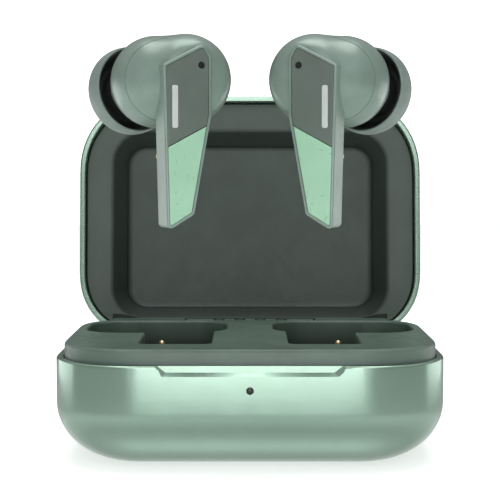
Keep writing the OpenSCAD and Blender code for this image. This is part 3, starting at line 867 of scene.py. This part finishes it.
def build_base_deck():
    lip_r = 0.7
    rings = [(TRAY_IN + TRAY_WALL, TRAY_Z - TRAY_PLATE), (TRAY_IN + TRAY_WALL, SKIRT_Z), (TRAY_IN, SKIRT_Z)]
    rings += [(TRAY_IN + i, TRAY_Z - d) for i, d in round_over(lip_r, ROUND_STEPS)]
    solid = Solid()
    made = solid.stack([at_height(case_outline(i), z) for i, z in rings])
    solid.fill(made[0])
    solid.fill(made[-1])
    item = new_object("base_deck", solid)

    walls = new_object("well_walls", well_wall(TIP_WELL, 1))
    for well, side in ((TIP_WELL, -1), (HEAD_WELL, 1), (HEAD_WELL, -1), (STEM_WELL, 1), (STEM_WELL, -1)):
        combine(walls, well_wall(well, side), "UNION")
    combine(walls, cavity(0.1, TRAY_Z), "INTERSECT")
    for spine in (-1, 1):
        ends = sorted((spine * BLOCK_HALF, spine * SPINE_HALF))
        combine(item, prism(spine_outline(), ends[0], ends[1], "x"), "UNION")
    joined = Solid()
    joined.points = [tuple(v.co / MM) for v in walls.data.vertices]
    joined.faces = [tuple(p.vertices) for p in walls.data.polygons]
    combine(item, joined, "UNION")
    bpy.data.objects.remove(walls)

    reach = BLOCK_HALF + PART_GAP
    gap_low = HINGE.z - KNUCKLE_R - PART_GAP
    front = HINGE.y - KNUCKLE_R - PART_GAP
    gap = [(front, gap_low), (HALF_D + 5, gap_low), (HALF_D + 5, TRAY_Z + 5), (front, TRAY_Z + 5)]
    cutters = [well_cutter(w, side) for w in (STEM_WELL, HEAD_WELL, TIP_WELL) for side in (1, -1)]
    cutters.append(prism(gap, -reach, reach, "x"))
    carve(item, cutters)
    return item


def build_knuckles(outline, spans, name):
    solid = Solid()
    edge = 0.14
    for low, high in spans:
        shrunk = moved_in(outline, edge)
        rings = solid.stack([
            [(x, y, z) for y, z in ring]
            for x, ring in ((low, shrunk), (low + edge, outline), (high - edge, outline), (high, shrunk))
        ])
        solid.fill(rings[0])
        solid.fill(rings[-1])
    return new_object(name, solid)


LUG_SPANS = [(-BLOCK_HALF, -6.9), (6.9, BLOCK_HALF)] + [(i * 3.9 - 1.05, i * 3.9 + 1.05) for i in (-1, 0, 1)]
FINGER_SPANS = [(x - 0.75, x + 0.75) for x in (-5.85, -1.95, 1.95, 5.85)]


ARM_FRONT = HINGE.y - 0.9
ARM_BACK = HALF_D - LINER_IN - PART_GAP
ARM_TOP = HINGE.z + SWEEP_R + 0.8


def finger_outline():
    start = math.degrees(math.acos((ARM_FRONT - HINGE.y) / KNUCKLE_R))
    end = 360 + math.degrees(math.acos((ARM_BACK - HINGE.y) / KNUCKLE_R))
    points = arc(HINGE.y, HINGE.z, KNUCKLE_R, start, end, 28)
    return points + [(ARM_BACK, ARM_TOP), (ARM_FRONT, ARM_TOP)]


def bridge_outline():
    low = HINGE.z + KNUCKLE_R + PART_GAP + 0.1
    return [(ARM_FRONT, low), (ARM_BACK, low), (ARM_BACK, ARM_TOP), (ARM_FRONT, ARM_TOP)]


# ------------------------------------------------------------------ earbuds

def blob(points):
    """Distance to the round head: two balls run together, with a softly flattened front."""
    a = np.linalg.norm(points - HEAD_CENTRE, axis=-1) - HEAD_R
    b = np.linalg.norm(points - CUP_CENTRE, axis=-1) - CUP_R
    blend = 1.2
    h = np.clip(0.5 + 0.5 * (b - a) / blend, 0, 1)
    both = b * (1 - h) + a * h - blend * h * (1 - h)
    front = 0.6 - points[..., 1]
    soft = 1.4
    g = np.clip(0.5 - 0.5 * (front - both) / soft, 0, 1)
    return front * (1 - g) + both * g + soft * g * (1 - g)


def head_slice(y, around=96):
    """The head's outline in a plane across its Y axis, as a ring of points."""
    f = np.clip((y - HEAD_CENTRE[1]) / (CUP_CENTRE[1] - HEAD_CENTRE[1] + 3), 0, 1)
    middle = HEAD_CENTRE * (1 - f) + CUP_CENTRE * f
    turns = np.arange(around) * 2 * math.pi / around
    rays = np.stack([np.cos(turns), np.zeros(around), np.sin(turns)], axis=-1)
    centre = np.array((middle[0], y, middle[2]))
    low, high = np.zeros(around), np.full(around, 12.0)
    for _ in range(30):
        mid = (low + high) / 2
        inside = blob(centre + rays * mid[:, None]) < 0
        low, high = np.where(inside, mid, low), np.where(inside, high, mid)
    return centre + rays * low[:, None]


def slices(start, end, count, ease_start=False, ease_end=False):
    """Places between two depths, gathered towards an end where the surface closes."""
    result = []
    for i in range(count + 1):
        f = i / count
        if ease_start and not ease_end:
            f = 1 - math.cos(f * math.pi / 2)
        if ease_end and not ease_start:
            f = math.sin(f * math.pi / 2)
        result.append(start + (end - start) * f)
    return result


SEAM_GAP = 0.07
HEAD_FRONT_Y, HEAD_BACK_Y = 0.66, 15.76


def head_piece(name, depths, close_front, close_back, place):
    solid = Solid()
    made = solid.stack([head_slice(y) for y in depths])
    for close, loop, y in ((close_front, made[0], depths[0]), (close_back, made[-1], depths[-1])):
        if close:
            solid.fan(loop, np.mean([solid.points[i] for i in loop], axis=0))
        else:
            solid.fill(loop)
    return new_object(name, solid.moved(place))


def revolve(profile, around=96):
    """Rings about the sound axis; the profile gives radii and places along it."""
    side = np.cross(SOUND_AXIS, (0, 0, 1))
    side /= np.linalg.norm(side)
    up = np.cross(side, SOUND_AXIS)
    rings = []
    for r, along in profile:
        turns = np.arange(around) * 2 * math.pi / around
        ring = np.cos(turns)[:, None] * side + np.sin(turns)[:, None] * up
        rings.append(TIP_CENTRE + SOUND_AXIS * along + ring * r)
    return rings


def build_ear_tip(name, place):
    """Flared skirt, rounded crown, and the bore with the rib that snaps behind the nozzle's flange."""
    core = NOZZLE_R + 0.12
    outer = [
        (core, -1.1), (3.3, -1.1), (3.3, 0.6), (3.35, 2.0), (3.75, 2.75), (4.6, 2.75), (5.45, 2.0),
        (6.0, 0.6), (6.25, -1.2), (6.45, -1.42), (6.72, -1.3), (6.88, 0.0), (6.72, 1.3), (6.15, 2.55),
        (5.2, 3.75), (4.1, 4.6), (3.1, 4.98), (2.3, 5.0), (1.95, 4.85), (1.9, 4.4), (1.9, 3.8),
        (2.4, 3.6), (core + 0.3, 3.5), (core + 0.3, 2.5), (core, 2.4), (core, 0.5),
    ]
    solid = Solid()
    steps, around = 4, 96
    made = solid.stack(revolve(smooth_curve(outer, steps), around))
    solid.band(made[-1], made[0])
    item = new_object(name, solid.moved(place))
    # The skirt's inner faces take the second slot, a dark silicone that is painted shade.
    for face in item.data.polygons:
        face.material_index = int(2 * steps <= face.index // around < 9 * steps)
    return item


def build_nozzle(name, place):
    profile = [
        (2.0, -2), (NOZZLE_R, -2), (NOZZLE_R, 2.62), (2.72, 2.7), (2.88, 2.8), (2.9, 3.0), (2.88, 3.12),
        (2.7, 3.2), (NOZZLE_R, 3.22), (2.58, 3.32), (2.5, NOZZLE_END), (2.1, NOZZLE_END), (2.0, 3.3),
    ]
    solid = Solid()
    made = solid.stack(revolve(profile))
    solid.band(made[-1], made[0])
    return new_object(name, solid.moved(place))


def face_ring(inset, y):
    return [(x, y, z) for x, z in rounded(FACE, FACE_ROUND, inset)]


def build_stem(name, place):
    """The stem with its rounded edges and the shallow pocket that holds the face plates."""
    front_r, back_r, pocket = 0.3, 1.3, 0.45
    rings = [face_ring(pocket, 0.95), face_ring(pocket, 0.06), face_ring(pocket - 0.05, 0.0)]
    for i in range(ROUND_STEPS + 1):
        a = math.pi / 2 * i / ROUND_STEPS
        rings.append(face_ring(front_r * (1 - math.sin(a)), front_r * (1 - math.cos(a))))
    for i in range(10):
        a = math.pi / 2 * i / 9
        rings.append(face_ring(back_r * (1 - math.cos(a)), STEM_D - back_r + back_r * math.sin(a)))
    solid = Solid()
    made = solid.stack(rings)
    solid.fill(made[0])
    solid.fill(made[-1])
    return new_object(name, solid.moved(place))


def slab(points, front, back, edge):
    """A flat plate in the face's plane, with its front edge rounded."""
    solid = Solid()
    rings = [[(x, back, z) for x, z in points], [(x, front + edge, z) for x, z in points]]
    for i in range(1, 5):
        a = math.pi / 2 * i / 4
        rings.append([(x, front + edge * (1 - math.sin(a)), z)
                      for x, z in moved_in(points, edge * (1 - math.cos(a)))])
    made = solid.stack(rings)
    solid.fill(made[0])
    solid.fill(made[-1])
    return solid


def face_part(upper):
    outline = rounded(FACE, FACE_ROUND, 0.48)
    along = (Vector(SPLIT[1]) - Vector(SPLIT[0])).normalized()
    across = Vector((-along.y, along.x)) * (1 if upper else -1)
    part = clipped(outline, Vector(SPLIT[0]) + across * 0.05, across)
    return [p for i, p in enumerate(part) if math.dist(p, part[i - 1]) > 0.02]


MIC_AT = (6.0, 24.6)
ACCENT = [(1.4, 15.3), (2.35, 15.3), (2.35, 21.6), (1.4, 21.6)]
ACCENT_ROUND = [0.3] * 4


def build_bud(label, side):
    place = bud_placer(side)
    body = "bud_" + label
    tag = body + "_"
    stem = build_stem(tag + "front_shell", place)
    seam_front, seam_back = STEM_D - SEAM_GAP, STEM_D + SEAM_GAP
    front_depths = [*slices(HEAD_FRONT_Y, seam_front, 22, ease_start=True), seam_front + 0.001]
    front_head = head_piece(tag + "head_front", front_depths, True, False, place)
    rear_depths = slices(seam_back, HEAD_BACK_Y, 40, ease_end=True)
    rear_head = head_piece(tag + "rear_housing", rear_depths, False, True, place)
    nozzle = build_nozzle(tag + "nozzle", place)
    tip = build_ear_tip(tag + "ear_tip", place)
    for item, replaced in (
        (stem, [tag + "front_shell"]), (front_head, []), (rear_head, [tag + "rear_housing"]), (nozzle, []),
    ):
        piece(item, body, FINISHES["bud_green"], replaced)
    inside = [face.material_index for face in tip.data.polygons]
    piece(tip, body, FINISHES["silicone"], [tag + "ear_tip"])
    # the skirt's inside takes the dark silicone of painted shade
    tip.data.materials.append(FINISHES["silicone_painted_shade"])
    tip.data.polygons.foreach_set("material_index", inside)

    plate = new_object(tag + "face_plate", slab(face_part(True), 0.05, 0.9, 0.12).moved(place))
    holes = [
        prism(circle(*MIC_AT, 0.53), -1, 2, "y").moved(place),
        prism(rounded(ACCENT, ACCENT_ROUND, -0.03), -1, 0.4, "y").moved(place),
    ]
    carve(plate, holes)
    panel = new_object(tag + "lower_panel", slab(face_part(False), 0.05, 0.9, 0.12).moved(place))
    inlay = slab(rounded(ACCENT, ACCENT_ROUND, 0), 0.0, 0.38, 0.08)
    bar = new_object(tag + "accent_bar", inlay.moved(place))
    piece(plate, body, FINISHES["face_grey_green"], [tag + "face_plate"])
    piece(panel, body, FINISHES["mint_panel"], [tag + "lower_panel"])
    piece(bar, body, FINISHES["accent_silver"], [tag + "accent_bar"])


# ------------------------------------------------------------------ small metal parts

def spun(profile, centre, around=48):
    """A closed turned part on an upright axis; the profile gives radii and heights, ends on the axis."""
    solid = Solid()
    made = solid.stack([
        [(centre[0] + r * math.cos(t), centre[1] + r * math.sin(t), z)
         for t in (2 * math.pi * i / around for i in range(around))]
        for r, z in profile
    ])
    solid.fill(made[0])
    solid.fill(made[-1])
    return solid


def build_charge_pins():
    for name in ("left_outer", "left_inner", "right_inner", "right_outer"):
        node = "pin_" + name
        low, high = box_mm(node)
        centre = (low + high) / 2
        r = (high.x - low.x) / 2
        profile = [(r - 0.05, low.z), (r, low.z + 0.05)]
        for i in range(13):
            a = math.pi / 2 * i / 12
            profile.append((max(r * math.cos(a), 0.03), high.z - r + r * math.sin(a)))
        item = new_object(node, spun(profile, centre))
        piece(item, node, FINISHES["contact_gold"], [node])


def build_light_lens():
    low, high = box_mm("led_lens")
    r = LIGHT_R
    profile = [(r * 0.2, 0.0), (r * 0.7, 0.03), (r * 0.93, 0.09), (r, 0.18), (r, 1.5)]
    solid = Solid()
    made = solid.stack([
        [(dr * math.cos(t), low.y + depth, LIGHT_Z + dr * math.sin(t))
         for t in (2 * math.pi * i / 40 for i in range(40))]
        for dr, depth in profile
    ])
    solid.fill(made[0])
    solid.fill(made[-1])
    item = new_object("led_lens", solid)
    piece(item, "base", FINISHES["light_lens"], ["led_lens"])


# ------------------------------------------------------------------ build

piece(build_base_shell(), "base", FINISHES["sage_paint"], ["base_shell"])
piece(build_base_deck(), "base", FINISHES["tray_plastic"], ["base_deck"])
lugs = build_knuckles(lug_outline(), LUG_SPANS, "hinge_lugs")
piece(lugs, "base", FINISHES["tray_plastic"])
piece(build_lid_shell(), "lid", FINISHES["sage_paint"], ["lid_shell"])
piece(build_lid_liner(), "lid", FINISHES["liner_plastic"], ["lid_liner"])
for part_name, outline, spans in (
    ("hinge_fingers", finger_outline(), FINGER_SPANS),
    ("hinge_bridge", bridge_outline(), [(-BLOCK_HALF, BLOCK_HALF)]),
):
    part = build_knuckles(outline, spans, part_name)
    swing_lid(part)
    piece(part, "lid", FINISHES["liner_plastic"])
build_charge_pins()
build_light_lens()
build_bud("left", 1)
build_bud("right", -1)

# The parts kept from CAD take the same finishes
KEPT = {
    "main_pcb": "circuit_board", "pcb_chips": "chip_black",
    "battery": "cell_foil", "battery_pad": "foam_black",
    "usb_c_port": "steel", "usb_c_tongue": "chip_black", "hall_sensor": "chip_black", "base_screws": "steel",
    "latch_magnets": "magnet_nickel", "cradle_magnets": "magnet_nickel", "pin_barrels": "contact_gold",
    "pin_flex": "contact_gold", "hinge_pin": "steel", "hinge_spring": "steel",
    "lid_magnets": "magnet_nickel", "lid_bumpers": "foam_black",
}
for label in ("left", "right"):
    for part_name, finish in {
        "mic_mesh": "screen_mesh", "nozzle_mesh": "screen_mesh", "driver": "steel", "cell": "cell_foil",
        "board": "circuit_board", "contacts": "contact_gold", "magnet": "magnet_nickel",
    }.items():
        KEPT[f"bud_{label}_{part_name}"] = finish
for node_name, finish in KEPT.items():
    kept = bpy.data.objects[node_name]
    kept.data.materials.clear()
    kept.data.materials.append(FINISHES[finish])


# ------------------------------------------------------------------ stage, lights and camera

def make_stage_white(name, glow):
    f = Finish(name)
    f.colour(f.blend(f.spread(f.noise(60, 3), 0, 1), tone("#f6f6f5"), tone("#f1f1f0")))
    f.rough(f.spread(f.noise(20, 3), 0.7, 0.85))
    f.bump(f.noise(1.2, 2), 0.02, 0.1)
    f.shader.inputs["Emission Color"].default_value = (1, 1, 1, 1)
    f.shader.inputs["Emission Strength"].default_value = glow
    return f.material


def build_stage():
    floor_r, bend_r, wall_h = 900.0, 400.0, 1500.0
    around = 128
    floor = Solid()
    rings = floor.stack([
        [(r * math.cos(t), r * math.sin(t), 0) for t in (2 * math.pi * i / around for i in range(around))]
        for r in (120, 300, floor_r)
    ])
    floor.fill(rings[0])
    wall = Solid()
    profile = [(floor_r + bend_r * math.sin(a), bend_r * (1 - math.cos(a)))
               for a in (math.pi / 2 * i / 24 for i in range(25))] + [(floor_r + bend_r, wall_h)]
    wall.stack([
        [(r * math.cos(t), r * math.sin(t), z) for t in (2 * math.pi * i / around for i in range(around))]
        for r, z in profile
    ])
    ground = new_object("stage_floor", floor)
    backdrop = new_object("stage_backdrop", wall)
    ground.data.materials.append(make_stage_white("stage_floor", 0.55))
    backdrop.data.materials.append(make_stage_white("stage_wall", 1.0))
    for item in (ground, backdrop):
        item.visible_glossy = False
    backdrop.visible_diffuse = False


def add_light(name, place, target, size, power, size_y=None):
    light = bpy.data.lights.new(name, "AREA")
    light.shape = "RECTANGLE"
    light.size = size * MM
    light.size_y = (size_y or size) * MM
    light.energy = power
    item = bpy.data.objects.new(name, light)
    item.location = Vector(place) * MM
    item.rotation_euler = (Vector(target) - Vector(place)).to_track_quat("-Z", "Y").to_euler()
    item.visible_camera = False
    bpy.context.collection.objects.link(item)


build_stage()
add_light("front_card", (0, -165, 22), (0, 0, 22), 84, 0.05, 62)
add_light("left_card", (-175, 75, 26), (-20, 0, 22), 150, 0.052, 80)
add_light("right_card", (175, 75, 26), (20, 0, 22), 150, 0.052, 80)
add_light("front_box", (0, -700, 420), (0, 0, 20), 420, 1.3)
add_light("top_box", (0, 40, 700), (0, 0, 0), 500, 2.6)

# The room that polished faces reflect, by height: dark round the horizon, paler from the floor and above
ROOM = [
    (-1.0, 0.9), (-0.93, 0.55), (-0.75, 0.42), (-0.35, 0.75), (-0.16, 0.35), (-0.05, 0.08), (0.3, 0.16),
    (0.65, 0.45), (1.0, 0.6),
]


def build_world():
    world = bpy.data.worlds.new("studio")
    world.use_nodes = True
    tree = world.node_tree
    direction = tree.nodes.new("ShaderNodeTexCoord").outputs["Generated"]
    split = tree.nodes.new("ShaderNodeSeparateXYZ")
    height = tree.nodes.new("ShaderNodeMapRange")
    height.inputs["From Min"].default_value = -1
    ramp = tree.nodes.new("ShaderNodeValToRGB")
    tree.links.new(direction, split.inputs[0])
    tree.links.new(split.outputs["Z"], height.inputs["Value"])
    tree.links.new(height.outputs[0], ramp.inputs[0])
    tree.links.new(ramp.outputs[0], tree.nodes["Background"].inputs["Color"])
    stops = ramp.color_ramp.elements
    while len(stops) < len(ROOM):
        stops.new(0.5)
    for stop, (z, level) in zip(stops, ROOM):
        stop.position = (z + 1) / 2
        stop.color = (level * 0.97, level, level * 0.99, 1)
    bpy.context.scene.world = world


build_world()
scene = bpy.context.scene
scene.view_settings.view_transform = "Standard"

VIEW_ELEVATION = math.radians(3.6)
VIEW_DISTANCE = 235.0
AIM = Vector((0, 0, 34.5))
camera = bpy.data.cameras.new("camera")
camera.lens = 97.2
camera.sensor_width = 36
eye = bpy.data.objects.new("camera", camera)
eye.location = (AIM + VIEW_DISTANCE * Vector((0, -math.cos(VIEW_ELEVATION), math.sin(VIEW_ELEVATION)))) * MM
eye.rotation_euler = (math.pi / 2 - VIEW_ELEVATION, 0, 0)
bpy.context.collection.objects.link(eye)
scene.camera = eye
